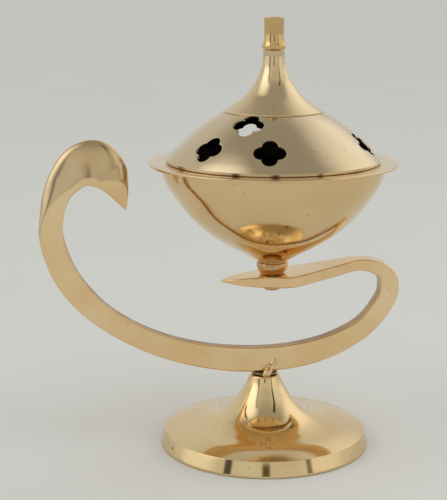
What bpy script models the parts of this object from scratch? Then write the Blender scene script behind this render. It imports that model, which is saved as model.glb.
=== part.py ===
"""Brass table incense burner: pedestal foot, S-shaped handle, bowl and pierced lift-off lid.

Metres, +Z up.  The handle lies in the XZ plane with its thumb leaf towards -X.
The foot stands on z = 0, and the origin is under the middle of the whole object's box.
"""
import math

import bmesh
import bpy
from mathutils import Matrix, Vector

NAME = "table_incense_burner"

# ---- driving dimensions, in metres ----
AXIS_X = 0.0211           # bowl, lid and finial turn about this vertical line
FOOT_X = 0.0182           # the foot's own line, slightly towards the thumb leaf
GAP = 0.0003              # air left between pieces that touch on the real object

FOOT_RADIUS = 0.0439
FOOT_BEVEL_RADIUS = 0.0421
FOOT_BEVEL_HEIGHT = 0.0064
FOOT_LIP = 0.0008         # upright edge under the bevel
FOOT_WALL = 0.0012
NECK_RADIUS = 0.0064
NECK_TOP = 0.0299
SEAT_RADIUS = 0.0054      # solder seat between the neck and the bar
BAR_UNDERSIDE = 0.0314    # lowest point of the handle's sweep

FOOT_SCREW_RADIUS = 0.0015    # M3 screw from the foot into the thin bar
STUD_RADIUS = 0.0025          # M5 stud through the bowl leaf
ROD_RADIUS = 0.0020       # M4 rod through the spire
LEAF_TOP = 0.0734         # flat of the bowl leaf that carries the collar
LEAF_THICKNESS = 0.0045

BOWL_BOTTOM = 0.0794
BOWL_FLOOR = 0.0820       # inside of the bowl's bottom
RIM_RADIUS = 0.0510
RIM_TOP = 0.1203
RIM_THICKNESS = 0.0010
MOUTH_RADIUS = 0.0429

LID_RADIUS = 0.0439
LID_EDGE = 0.0009         # height of the lid's upright edge
LID_WALL = 0.0009
LID_LIP = 0.00115        # width of the edge that lies on the rim
LID_CROWN = 0.1430        # flat top of the dome under the spire
SPIRE_RADIUS = 0.0206
SPIRE_BASE = 0.1412
SPIRE_WALL = 0.0010
SPIRE_TOP = 0.1656
FINIAL_TOP = 0.1784

QUATREFOIL_LOBE = 0.0031      # radius of each of the four lobes
QUATREFOIL_OFFSET = 0.0032    # lobe centre from the middle of the cut-out
LOBE_STEPS = 6                # points on each lobe's arc
LID_TURN = math.radians(-122.0)
HOLE_GROUPS = 3
HOLE_SPREAD = math.radians(20.3)
LOW_HOLE_RADIUS = 0.0370      # distance of the lower cut-outs from the lid's line
HIGH_HOLE_RADIUS = 0.0256

WIDE_STEPS = 48               # facets round the bowl, foot and lid
NARROW_STEPS = 24

# Handle stations from the thumb leaf's tip to the bowl leaf's tip, in millimetres from the
# bowl's line: x, z, thickness in the plane of the handle, half depth, crown (0 flat bar, 1 ridge).
HANDLE_STATIONS = [
    (-60.6, 101.8, 0.8, 0.5, 0.0),
    (-62.2, 106.6, 5.6, 2.4, 0.0),
    (-64.2, 111.8, 10.6, 4.2, 0.5),
    (-67.2, 117.0, 15.6, 5.6, 1.0),
    (-72.5, 121.2, 18.0, 6.4, 1.0),
    (-79.3, 119.8, 16.4, 6.3, 1.0),
    (-85.2, 114.2, 12.8, 5.6, 1.0),
    (-88.8, 107.4, 10.5, 4.9, 0.8),
    (-90.5, 99.5, 9.6, 4.3, 0.4),
    (-90.9, 91.5, 9.7, 4.0, 0.0),
    (-88.5, 82.0, 10.0, 3.9, 0.0),
    (-83.5, 71.6, 9.9, 3.7, 0.0),
    (-73.9, 60.3, 9.5, 3.3, 0.0),
    (-61.6, 51.3, 9.1, 2.9, 0.0),
    (-47.9, 44.5, 9.4, 2.8, 0.0),
    (-33.3, 39.9, 9.8, 2.7, 0.0),
    (-18.0, 37.2, 10.4, 2.7, 0.0),
    (-2.5, 36.6, 10.4, 2.7, 0.0),
    (12.8, 38.1, 10.2, 2.8, 0.0),
    (27.1, 42.3, 9.2, 3.0, 0.0),
    (39.9, 49.8, 8.0, 3.4, 0.0),
    (48.3, 60.7, 7.6, 4.0, 0.0),
    (49.7, 67.5, 7.6, 4.3, 0.0),
    (47.9, 72.4, 6.8, 4.3, 0.0),
    (42.8, 75.5, 5.6, 4.2, 0.0),
    (35.5, 76.4, 4.6, 4.3, 0.0),
    (25.0, 74.5, 4.5, 6.9, 0.0),
    (15.5, 72.8, 4.5, 9.1, 0.0),
    (8.5, 71.6, 4.5, 10.5, 0.0),
    (3.5, 71.1, 4.5, 9.8, 0.0),
    (-3.5, 71.0, 4.5, 7.7, 0.0),
    (-10.0, 70.9, 3.8, 6.4, 0.0),
    (-15.0, 70.75, 2.6, 5.0, 0.0),
    (-19.0, 70.7, 1.3, 2.8, 0.0),
    (-21.6, 70.5, 0.5, 0.5, 0.0),
]
MILLIMETRE = 0.001
STATION_STEPS = 2             # loft sections from one handle station to the next
CREASE_SHARE = 0.20           # height of the leaf's side face, as a share of its thickness
BAR_EDGE = 0.0006             # small chamfer along the bar's corners


# ---- helpers ----
def clear_scene():
    """Remove what the scene holds."""
    for old in list(bpy.data.objects):
        bpy.data.objects.remove(old, do_unlink=True)


def new_collection(name):
    """Return a new collection linked to the scene."""
    collection = bpy.data.collections.new(name)
    bpy.context.scene.collection.children.link(collection)
    return collection


def brass(name, colour, roughness):
    """Return a brass-like Principled material."""
    material = bpy.data.materials.new(name)
    material.use_nodes = True
    shader = material.node_tree.nodes["Principled BSDF"]
    shader.inputs["Base Color"].default_value = (*colour, 1.0)
    shader.inputs["Metallic"].default_value = 1.0
    shader.inputs["Roughness"].default_value = roughness
    material.diffuse_color = (*colour, 1.0)
    return material


def smooth_curve(points, steps):
    """Return points along a smooth curve through the given ones (Catmull-Rom)."""
    padded = [points[0], *points, points[-1]]
    result = []
    for index in range(1, len(padded) - 2):
        before, start, end, after = (Vector(p) for p in padded[index - 1:index + 3])
        for step in range(steps):
            t = step / steps
            bend = (2 * before - 5 * start + 4 * end - after) * t * t
            bend += (3 * start - before - 3 * end + after) * t * t * t
            result.append((2 * start + (end - before) * t + bend) / 2)
    result.append(Vector(points[-1]))
    return [tuple(point) for point in result]


def inward(points, distance):
    """Return a turned profile moved towards its inner side by the wall's thickness."""
    moved = []
    for index, (radius, height) in enumerate(points):
        before = Vector(points[max(index - 1, 0)])
        after = Vector(points[min(index + 1, len(points) - 1)])
        along = (after - before).normalized()
        moved.append((radius + along.y * distance, height - along.x * distance))
    return moved


def place(name, mesh, where, material, collection):
    """Put a mesh in the part's collection under its own name."""
    part = bpy.data.objects.new(name, mesh)
    part.location = where
    mesh.materials.append(material)
    collection.objects.link(part)
    return part


def turned(name, profile, where, steps, material, collection, ring=False):
    """Turn a profile of (radius, height) points, top to bottom down its outer side."""
    mesh = bpy.data.meshes.new(name)
    edges = [(index, index + 1) for index in range(len(profile) - 1)]
    if ring:
        edges.append((len(profile) - 1, 0))
    mesh.from_pydata([(radius, 0.0, height) for radius, height in profile], edges, [])
    part = place(name, mesh, where, material, collection)
    screw = part.modifiers.new("turn", 'SCREW')
    screw.steps = steps
    screw.render_steps = steps
    screw.use_merge_vertices = True
    screw.merge_threshold = 0.00001
    screw.use_smooth_shade = True
    return part


def shade_round(part, degrees=35.0):
    """Shade a finished mesh smooth, with its real corners kept sharp."""
    part.data.shade_smooth()
    part.data.set_sharp_from_angle(angle=math.radians(degrees))


def cut(part, cutter):
    """Cut one object from another with an exact Boolean."""
    modifier = part.modifiers.new("cut " + cutter.name, 'BOOLEAN')
    modifier.operation = 'DIFFERENCE'
    modifier.solver = 'EXACT'
    modifier.object = cutter
    cutter.hide_render = True
    cutter.display_type = 'WIRE'


def rod_mesh(name, radius, bottom, top, sides):
    """Return an upright closed cylinder or prism."""
    mesh = bpy.data.meshes.new(name)
    shape = bmesh.new()
    lift = Matrix.Translation((0.0, 0.0, (bottom + top) / 2))
    bmesh.ops.create_cone(shape, cap_ends=True, segments=sides, radius1=radius, radius2=radius,
                          depth=top - bottom, matrix=lift)
    shape.to_mesh(mesh)
    shape.free()
    return mesh


def bored(name, radius, bottom, top, sides, hole, where, material, collection):
    """Return an upright disc or prism with a round hole through it."""
    mesh = rod_mesh(name, radius, bottom, top, sides)
    part = place(name, mesh, where, material, collection)
    cutter = place(name + "_hole", rod_mesh(name + "_hole", hole, bottom - GAP, top + GAP, NARROW_STEPS),
                   where, material, cutters)
    cut(part, cutter)
    shade_round(part)
    return part


# ---- foot ----
def foot_profile():
    """Trumpet foot: flat neck top, flare, bevelled edge, then the hollow's wall back up."""
    flare = smooth_curve([
        (NECK_RADIUS, NECK_TOP - 0.0004),
        (0.0073, 0.0268),
        (0.0090, 0.0236),
        (0.0122, 0.0186),
        (0.0160, 0.0145),
        (0.0205, 0.0117),
        (0.0270, 0.0098),
        (0.0350, 0.0083),
        (FOOT_BEVEL_RADIUS, FOOT_BEVEL_HEIGHT),
    ], 2)
    hole = FOOT_SCREW_RADIUS + GAP
    outer = [(hole, NECK_TOP), (NECK_RADIUS - 0.0004, NECK_TOP), *flare,
             (FOOT_RADIUS, FOOT_LIP), (FOOT_RADIUS, 0.0)]
    hollow = inward(flare[1:-1], FOOT_WALL)
    inner = [(FOOT_RADIUS - FOOT_WALL, 0.0), (FOOT_BEVEL_RADIUS - FOOT_WALL, FOOT_BEVEL_HEIGHT - FOOT_WALL),
             *reversed(hollow), (NECK_RADIUS - FOOT_WALL, NECK_TOP - FOOT_WALL), (hole, NECK_TOP - FOOT_WALL)]
    return outer + inner


def make_foot(collection):
    """Foot shell with its screw, washer and the solder seat under the bar."""
    line = (FOOT_X, 0.0, 0.0)
    foot = turned("foot_shell", foot_profile(), line, WIDE_STEPS,
                  brass("foot brass", (0.83, 0.62, 0.30), 0.16), collection, ring=True)
    hole = FOOT_SCREW_RADIUS + GAP
    bored("foot_solder_seat", SEAT_RADIUS, NECK_TOP + GAP, BAR_UNDERSIDE - GAP, NARROW_STEPS, hole, line,
          brass("solder", (0.62, 0.58, 0.50), 0.35), collection)
    washer_top = NECK_TOP - FOOT_WALL - GAP
    washer_bottom = washer_top - 0.0008
    bored("foot_washer", 0.0040, washer_bottom, washer_top, NARROW_STEPS, hole, line,
          brass("foot washer steel", (0.60, 0.58, 0.54), 0.32), collection)
    make_screw(line, washer_bottom - GAP, collection)
    return foot


def make_screw(line, head_top, collection):
    """Slotted pan-head screw from inside the foot up into the bar."""
    head_radius = 0.0029
    head_height = 0.0022
    bottom = head_top - head_height
    tip = BAR_UNDERSIDE + 0.0068
    dome = [(head_radius * math.cos(math.radians(a)), bottom + 0.0008 - 0.0008 * math.sin(math.radians(a)))
            for a in (0, 30, 60, 90)]
    profile = [(0.0, tip), (FOOT_SCREW_RADIUS - 0.0005, tip), (FOOT_SCREW_RADIUS, tip - 0.0005),
               (FOOT_SCREW_RADIUS, head_top), (head_radius, head_top), *dome[:-1], (0.0, bottom)]
    screw = turned("foot_screw", profile, line, NARROW_STEPS,
                   brass("screw steel", (0.62, 0.60, 0.56), 0.30), collection)
    slot_mesh = bpy.data.meshes.new("foot_screw_slot")
    shape = bmesh.new()
    bmesh.ops.create_cube(shape, size=1.0)
    bmesh.ops.scale(shape, vec=(0.0008, 0.0100, 0.0020), verts=shape.verts)
    shape.to_mesh(slot_mesh)
    shape.free()
    slot = place("foot_screw_slot", slot_mesh, (line[0], line[1], bottom), screw.data.materials[0], cutters)
    cut(screw, slot)


# ---- handle ----
def handle_sections():
    """Return closed sections along the handle, each a list of (x, y, z)."""
    world = [(AXIS_X + x * MILLIMETRE, z * MILLIMETRE, thickness * MILLIMETRE, depth * MILLIMETRE, crown)
             for x, z, thickness, depth, crown in HANDLE_STATIONS]
    stations = smooth_curve(world, STATION_STEPS)
    sections = []
    for index, (x, z, thickness, half_depth, crown) in enumerate(stations):
        before = stations[max(index - 1, 0)]
        after = stations[min(index + 1, len(stations) - 1)]
        along = Vector((after[0] - before[0], after[1] - before[1])).normalized()
        outward = Vector((along.y, -along.x))
        sections.append([
            (x + outward.x * rise, side, z + outward.y * rise)
            for rise, side in handle_section(thickness, half_depth, crown)
        ])
    return sections


def handle_section(thickness, half_depth, crown):
    """One cross-section as (rise, side) points: a chamfered bar that turns into a ridged leaf."""
    edge = min(BAR_EDGE, thickness / 4, half_depth / 4)
    low = -thickness / 2
    crease = low + thickness * CREASE_SHARE
    shoulder = (thickness / 2 - edge) * (1 - crown) + crease * crown
    half = [(low, half_depth - edge), (low + edge, half_depth), (shoulder, half_depth)]
    for share in (0.12, 0.35, 0.60, 0.82, 0.95):
        flat = (thickness / 2, (half_depth - edge) * (1 - share))
        rise = shoulder + (thickness / 2 - shoulder) * math.sin(share * math.pi / 2) ** 0.9
        ridge = (rise, half_depth * (1 - share) ** 0.85)
        half.append((flat[0] * (1 - crown) + ridge[0] * crown, flat[1] * (1 - crown) + ridge[1] * crown))
    mirrored = [(rise, -side) for rise, side in reversed(half)]
    return half + mirrored


def make_handle(collection):
    """The S-shaped casting: thumb leaf, bar and bowl leaf, drilled for its two fixings."""
    shape = bmesh.new()
    rings = [[shape.verts.new(point) for point in section] for section in handle_sections()]
    for first, second in zip(rings, rings[1:]):
        for index in range(len(first)):
            after = (index + 1) % len(first)
            shape.faces.new((first[index], first[after], second[after], second[index]))
    shape.faces.new(reversed(rings[0]))
    shape.faces.new(rings[-1])
    bmesh.ops.recalc_face_normals(shape, faces=shape.faces)
    mesh = bpy.data.meshes.new("handle")
    shape.to_mesh(mesh)
    shape.free()
    handle = place("handle", mesh, (0.0, 0.0, 0.0), brass("handle brass", (0.80, 0.55, 0.25), 0.20), collection)
    shade_round(handle)
    screw_hole = rod_mesh("handle_screw_hole", FOOT_SCREW_RADIUS + GAP, BAR_UNDERSIDE - 0.002,
                          BAR_UNDERSIDE + 0.0072, NARROW_STEPS)
    stud_hole = rod_mesh("handle_stud_hole", STUD_RADIUS + GAP, LEAF_TOP - 2 * LEAF_THICKNESS,
                         LEAF_TOP + 0.002, NARROW_STEPS)
    for mesh, x in ((screw_hole, FOOT_X), (stud_hole, AXIS_X)):
        cut(handle, place(mesh.name, mesh, (x, 0.0, 0.0), handle.data.materials[0], cutters))
    return handle


# ---- bowl ----
def bowl_profile():
    """Cast bowl: flat rim flange, curved side, flat bottom with a hole, then the inside back up."""
    side = smooth_curve([
        (0.0462, RIM_TOP - 0.0017),
        (0.0446, 0.1131),
        (0.0411, 0.1070),
        (0.0352, 0.0990),
        (0.0277, 0.0918),
        (0.0199, 0.0866),
        (0.0120, 0.0822),
        (0.0072, BOWL_BOTTOM),
    ], 2)
    inside = smooth_curve([
        (0.0072, BOWL_FLOOR),
        (0.0120, 0.0843),
        (0.0190, 0.0885),
        (0.0262, 0.0936),
        (0.0333, 0.1003),
        (0.0390, 0.1080),
        (0.0421, 0.1140),
        (MOUTH_RADIUS, RIM_TOP - 0.0020),
    ], 2)
    hole = STUD_RADIUS + GAP
    rim = [(MOUTH_RADIUS, RIM_TOP), (RIM_RADIUS - 0.0003, RIM_TOP), (RIM_RADIUS, RIM_TOP - 0.0003),
           (RIM_RADIUS, RIM_TOP - RIM_THICKNESS + 0.0003), (RIM_RADIUS - 0.0003, RIM_TOP - RIM_THICKNESS),
           (0.0474, RIM_TOP - RIM_THICKNESS)]
    return rim + side + [(hole, BOWL_BOTTOM), (hole, BOWL_FLOOR)] + inside


def make_bowl(collection):
    """Bowl on its turned collar, held down by a stud, washer and nut."""
    line = (AXIS_X, 0.0, 0.0)
    hole = STUD_RADIUS + GAP
    turned("bowl", bowl_profile(), line, WIDE_STEPS,
           brass("bowl brass", (0.84, 0.60, 0.28), 0.14), collection, ring=True)
    bead = smooth_curve([(0.0060, 0.0785), (0.0066, 0.0772), (0.0065, 0.0760), (0.0056, 0.0745)], 2)
    collar = [(hole, BOWL_BOTTOM - GAP), (0.0064, BOWL_BOTTOM - GAP), *bead,
              (0.0052, LEAF_TOP + GAP), (hole, LEAF_TOP + GAP)]
    turned("bowl_collar", collar, line, NARROW_STEPS,
           brass("collar brass", (0.80, 0.52, 0.24), 0.16), collection, ring=True)
    washer_bottom = BOWL_FLOOR + GAP
    washer_top = washer_bottom + 0.0009
    bored("bowl_washer", 0.0054, washer_bottom, washer_top, NARROW_STEPS, hole, line,
          brass("bowl washer steel", (0.58, 0.56, 0.52), 0.34), collection)
    nut_bottom = washer_top + GAP
    bored("bowl_nut", 0.0046, nut_bottom, nut_bottom + 0.0040, 6, hole, line,
          brass("bowl nut steel", (0.60, 0.57, 0.52), 0.32), collection)
    make_stud(line, nut_bottom + 0.0049, collection)


def make_stud(line, top, collection):
    """Stud through leaf, collar and bowl, with its flat head under the leaf."""
    head_top = LEAF_TOP - LEAF_THICKNESS - GAP
    head_radius = 0.0037
    profile = [(0.0, top), (STUD_RADIUS - 0.0004, top), (STUD_RADIUS, top - 0.0004),
               (STUD_RADIUS, head_top), (head_radius, head_top), (head_radius, head_top - 0.0015),
               (head_radius - 0.0006, head_top - 0.0021), (0.0, head_top - 0.0021)]
    turned("bowl_stud", profile, line, NARROW_STEPS,
           brass("stud brass", (0.74, 0.52, 0.26), 0.26), collection)


# ---- lid ----
def dome_curve():
    """Outer line of the dome from its flat crown to its upright edge."""
    return smooth_curve([
        (0.0060, LID_CROWN - 0.0001),
        (0.0120, LID_CROWN - 0.0005),
        (0.0172, LID_CROWN - 0.0013),
        (SPIRE_RADIUS, LID_CROWN - 0.0024),
        (0.0262, 0.1374),
        (0.0320, 0.1330),
        (0.0372, 0.1285),
        (0.0415, 0.1243),
        (LID_RADIUS, RIM_TOP + GAP + LID_EDGE),
    ], 2)


def quatrefoil(name):
    """Cutter for one four-lobed opening: its flat outline pushed out along local Z."""
    depth = 0.016
    shape = bmesh.new()
    ring = [shape.verts.new((x, y, -depth / 2)) for x, y in quatrefoil_outline()]
    face = shape.faces.new(ring)
    grown = bmesh.ops.extrude_face_region(shape, geom=[face])
    lifted = [item for item in grown["geom"] if isinstance(item, bmesh.types.BMVert)]
    bmesh.ops.translate(shape, vec=(0.0, 0.0, depth), verts=lifted)
    bmesh.ops.recalc_face_normals(shape, faces=shape.faces)
    mesh = bpy.data.meshes.new(name)
    shape.to_mesh(mesh)
    shape.free()
    return mesh


def quatrefoil_outline():
    """Four arcs that meet at the corners between neighbouring lobes."""
    swing = math.pi - math.asin(QUATREFOIL_OFFSET / QUATREFOIL_LOBE / math.sqrt(2)) - math.pi / 4
    points = []
    for quarter in range(4):
        facing = quarter * math.pi / 2
        middle = Vector((math.cos(facing), math.sin(facing))) * QUATREFOIL_OFFSET
        for step in range(LOBE_STEPS):
            angle = facing - swing + 2 * swing * step / LOBE_STEPS
            points.append((middle.x + QUATREFOIL_LOBE * math.cos(angle),
                           middle.y + QUATREFOIL_LOBE * math.sin(angle)))
    return points


def make_dome(collection):
    """Pierced dome: three groups of cut-outs, each two low ones with a high one between."""
    line = (AXIS_X, 0.0, 0.0)
    outer = dome_curve()
    hole = ROD_RADIUS + GAP
    inner = inward(outer[:-1], LID_WALL)
    lip = LID_RADIUS - LID_LIP
    bottom = RIM_TOP + GAP
    profile = [(hole, LID_CROWN), *outer, (LID_RADIUS, bottom), (lip, bottom), (lip, bottom + LID_EDGE),
               *reversed(inner), (hole, LID_CROWN - LID_WALL)]
    dome = turned("lid_dome", profile, line, WIDE_STEPS,
                  brass("lid brass", (0.80, 0.64, 0.40), 0.18), collection, ring=True)
    for group in range(HOLE_GROUPS):
        middle = LID_TURN + group * 2 * math.pi / HOLE_GROUPS
        for turn, radius in ((-HOLE_SPREAD, LOW_HOLE_RADIUS), (0.0, HIGH_HOLE_RADIUS),
                             (HOLE_SPREAD, LOW_HOLE_RADIUS)):
            pierce(dome, outer, middle + turn, radius)


def pierce(dome, outer, turn, radius):
    """Cut one quatrefoil square to the dome's surface."""
    index = next(i for i, point in enumerate(outer) if point[0] > radius)
    start, end = Vector(outer[index - 1]), Vector(outer[index])
    share = (radius - start.x) / (end.x - start.x)
    height = start.y + (end.y - start.y) * share
    tilt = math.atan2(start.y - end.y, end.x - start.x)
    mesh = quatrefoil("quatrefoil")
    cutter = place("quatrefoil", mesh, (0.0, 0.0, 0.0), dome.data.materials[0], cutters)
    turned_out = Matrix.Rotation(turn, 4, 'Z') @ Matrix.Translation((radius, 0.0, height))
    cutter.matrix_world = (Matrix.Translation((AXIS_X, 0.0, 0.0)) @ turned_out
                           @ Matrix.Rotation(tilt, 4, 'Y'))
    cut(dome, cutter)


def make_lid(collection):
    """Dome with its locating ring, spire, finial, and the rod, washer and nut that hold them."""
    line = (AXIS_X, 0.0, 0.0)
    hole = ROD_RADIUS + GAP
    make_dome(collection)
    outside = LID_RADIUS - LID_LIP - GAP
    ring_wall = 0.0012
    ring_top = RIM_TOP + GAP + LID_EDGE
    ring_bottom = RIM_TOP - 0.0040
    ring = [(outside - ring_wall, ring_top), (outside, ring_top), (outside, ring_bottom + 0.0004),
            (outside - 0.0004, ring_bottom), (outside - ring_wall, ring_bottom)]
    turned("lid_locating_ring", ring, line, WIDE_STEPS,
           brass("ring brass", (0.76, 0.58, 0.32), 0.24), collection, ring=True)
    turned("spire", spire_profile(hole), line, NARROW_STEPS,
           brass("spire brass", (0.82, 0.66, 0.42), 0.15), collection, ring=True)
    turned("finial", finial_profile(hole), line, NARROW_STEPS,
           brass("finial brass", (0.82, 0.62, 0.34), 0.15), collection)
    washer_top = LID_CROWN - LID_WALL - GAP
    washer_bottom = washer_top - 0.0009
    bored("lid_washer", 0.0050, washer_bottom, washer_top, NARROW_STEPS, hole, line,
          brass("lid washer steel", (0.58, 0.56, 0.52), 0.34), collection)
    nut_top = washer_bottom - GAP
    nut_bottom = nut_top - 0.0032
    bored("lid_nut", 0.0040, nut_bottom, nut_top, 6, hole, line,
          brass("lid nut steel", (0.60, 0.57, 0.52), 0.32), collection)
    rod = place("finial_rod", rod_mesh("finial_rod", ROD_RADIUS, nut_bottom - 0.0010, SPIRE_TOP + 0.0064,
                                       NARROW_STEPS),
                line, brass("rod steel", (0.60, 0.57, 0.52), 0.32), collection)
    shade_round(rod)


def spire_profile(hole):
    """Hollow flared spire that stands on the dome's crown."""
    flare = smooth_curve([
        (0.0044, SPIRE_TOP - 0.0004),
        (0.0044, 0.1625),
        (0.0049, 0.1590),
        (0.0060, 0.1558),
        (0.0073, 0.1528),
        (0.0094, 0.1498),
        (0.0122, 0.1468),
        (0.0162, 0.1440),
        (SPIRE_RADIUS, SPIRE_BASE),
    ], 2)
    hollow = inward(flare[1:-1], SPIRE_WALL)
    foot = LID_CROWN - 0.0024 + GAP
    return [(hole, SPIRE_TOP), (0.0042, SPIRE_TOP), *flare, (SPIRE_RADIUS, foot),
            (SPIRE_RADIUS - SPIRE_WALL, foot + 0.0006), *reversed(hollow),
            (0.0034, SPIRE_TOP - SPIRE_WALL), (hole, SPIRE_TOP - SPIRE_WALL)]


def finial_profile(hole):
    """Solid turned tip with a ring at its foot and a blind hole for the rod."""
    bottom = SPIRE_TOP + GAP
    stem = smooth_curve([(0.0041, FINIAL_TOP - 0.0004), (0.0040, 0.1745), (0.0040, 0.1712),
                         (0.0044, 0.1688), (0.0049, 0.1672)], 2)
    return [(0.0, FINIAL_TOP), (0.0037, FINIAL_TOP), *stem, (0.0049, bottom + 0.0005),
            (0.0046, bottom), (hole, bottom), (hole, SPIRE_TOP + 0.0067), (0.0, SPIRE_TOP + 0.0067)]


clear_scene()
burner = new_collection(NAME)
cutters = new_collection("cutters")
make_foot(burner)
make_handle(burner)
make_bowl(burner)
make_lid(burner)
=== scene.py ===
"""Finished look of the brass table incense burner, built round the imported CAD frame."""
import math

import bmesh
import bpy
import numpy as np
from mathutils import Matrix, Vector, geometry, noise


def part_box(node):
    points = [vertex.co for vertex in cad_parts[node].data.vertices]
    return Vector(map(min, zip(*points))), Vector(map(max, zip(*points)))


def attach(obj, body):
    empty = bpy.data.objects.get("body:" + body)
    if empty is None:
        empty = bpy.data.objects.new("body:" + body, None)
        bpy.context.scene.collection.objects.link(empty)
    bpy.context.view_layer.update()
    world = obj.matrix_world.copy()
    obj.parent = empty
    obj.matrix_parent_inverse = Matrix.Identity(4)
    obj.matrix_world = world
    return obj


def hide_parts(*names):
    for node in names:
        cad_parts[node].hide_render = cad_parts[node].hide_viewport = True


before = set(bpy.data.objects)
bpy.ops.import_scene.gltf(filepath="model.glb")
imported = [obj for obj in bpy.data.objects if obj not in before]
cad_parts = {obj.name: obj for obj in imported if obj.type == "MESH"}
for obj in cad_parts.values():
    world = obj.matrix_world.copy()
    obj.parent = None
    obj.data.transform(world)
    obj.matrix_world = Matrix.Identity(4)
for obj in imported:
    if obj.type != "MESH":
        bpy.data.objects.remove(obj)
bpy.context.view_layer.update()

STAND = "stand"
LID = "lid"
MM = 0.001
ROUND = 240              # sides of the wide turned pieces
NARROW = 120             # sides of the small ones
NUT_SIDES = 96
FOOT_HOLE = 0.0018       # clearance holes round the M3 screw, the M5 stud and the M4 rod
STUD_HOLE = 0.0028
ROD_HOLE = 0.0023
FOOT_SHANK = 0.0015      # radii of the same three
STUD_SHANK = 0.0025
ROD_SHANK = 0.0020


# ---------------------------------------------------------------- places from the frame
def centre_line(node):
    """Vertical line through the middle of a CAD node."""
    low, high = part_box(node)
    return Vector(((low[0] + high[0]) / 2, (low[1] + high[1]) / 2, 0.0))


def radius_of(node):
    """Half the width of a round CAD node."""
    low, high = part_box(node)
    return (high[0] - low[0]) / 2


BOWL_LINE = centre_line("bowl")
FOOT_LINE = centre_line("foot_shell")


# ---------------------------------------------------------------- curves and turned meshes
def smooth_curve(points, steps):
    """Catmull-Rom curve through points of any size."""
    padded = [points[0], *points, points[-1]]
    result = []
    for index in range(1, len(padded) - 2):
        before, start, end, after = (np.array(p, float) for p in padded[index - 1:index + 3])
        for step in range(steps):
            t = step / steps
            bend = (2 * before - 5 * start + 4 * end - after) * t * t
            bend = bend + (3 * start - before - 3 * end + after) * t * t * t
            result.append(tuple((2 * start + (end - before) * t + bend) / 2))
    result.append(tuple(points[-1]))
    return result


def rounded(points, radius, steps=4):
    """Profile with each of its inner corners turned into a small arc."""
    result = [points[0]]
    for index in range(1, len(points) - 1):
        corner = Vector(points[index])
        before, after = Vector(points[index - 1]) - corner, Vector(points[index + 1]) - corner
        reach = min(radius, before.length * 0.45, after.length * 0.45)
        start, end = corner + before.normalized() * reach, corner + after.normalized() * reach
        for step in range(steps + 1):
            t = step / steps
            point = start * (1 - t) ** 2 + corner * 2 * t * (1 - t) + end * t * t
            result.append((point.x, point.y))
    result.append(points[-1])
    return result


def inward(points, distance):
    """A profile moved to its inner side by a wall's thickness."""
    moved = []
    for index, (radius, height) in enumerate(points):
        before = Vector(points[max(index - 1, 0)])
        after = Vector(points[min(index + 1, len(points) - 1)])
        along = (after - before).normalized()
        moved.append((radius + along.y * distance, height - along.x * distance))
    return moved


def add_piece(name, mesh, where, material, body, *nodes):
    """Link a mesh as a piece that rides on a body and stands for CAD nodes."""
    piece = bpy.data.objects.new(name, mesh)
    piece.location = where
    bpy.context.scene.collection.objects.link(piece)
    mesh.materials.append(material)
    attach(piece, body)
    if nodes:
        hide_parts(*nodes)
    return piece


def finish_mesh(shape, name, angle=32.0):
    """Turn a bmesh into a smooth-shaded mesh with its real corners sharp."""
    bmesh.ops.recalc_face_normals(shape, faces=shape.faces)
    mesh = bpy.data.meshes.new(name)
    shape.to_mesh(mesh)
    shape.free()
    mesh.shade_smooth()
    mesh.set_sharp_from_angle(angle=math.radians(angle))
    return mesh


def profile_lengths(profile):
    """Distance along a profile at each of its points."""
    lengths = [0.0]
    for before, after in zip(profile, profile[1:]):
        lengths.append(lengths[-1] + math.dist(before, after))
    return lengths


def turned_shape(profile, sides, ring):
    """Bmesh of a profile turned about Z, with the distance along the profile on its vertices."""
    shape = bmesh.new()
    along = shape.verts.layers.float.new("along")
    rows = []
    for (radius, height), length in zip(profile, profile_lengths(profile)):
        count = 1 if radius < 1e-7 else sides
        row = []
        for index in range(count):
            angle = 2 * math.pi * index / sides
            vertex = shape.verts.new((radius * math.cos(angle), radius * math.sin(angle), height))
            vertex[along] = length / MM
            row.append(vertex)
        rows.append(row)
    pairs = list(zip(rows, rows[1:]))
    if ring:
        pairs.append((rows[-1], rows[0]))
    for upper, lower in pairs:
        for index in range(sides):
            after = (index + 1) % sides
            corners = [upper[index % len(upper)], lower[index % len(lower)],
                       lower[after % len(lower)], upper[after % len(upper)]]
            corners = list(dict.fromkeys(corners))
            if len(corners) > 2:
                shape.faces.new(corners)
    return shape


def turned(name, profile, line, sides, material, body, *nodes, ring=False, angle=32.0):
    """A turned piece: the profile runs down its outer side and, for a ring, back up inside."""
    mesh = finish_mesh(turned_shape(profile, sides, ring), name, angle)
    return add_piece(name, mesh, line, material, body, *nodes)


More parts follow.
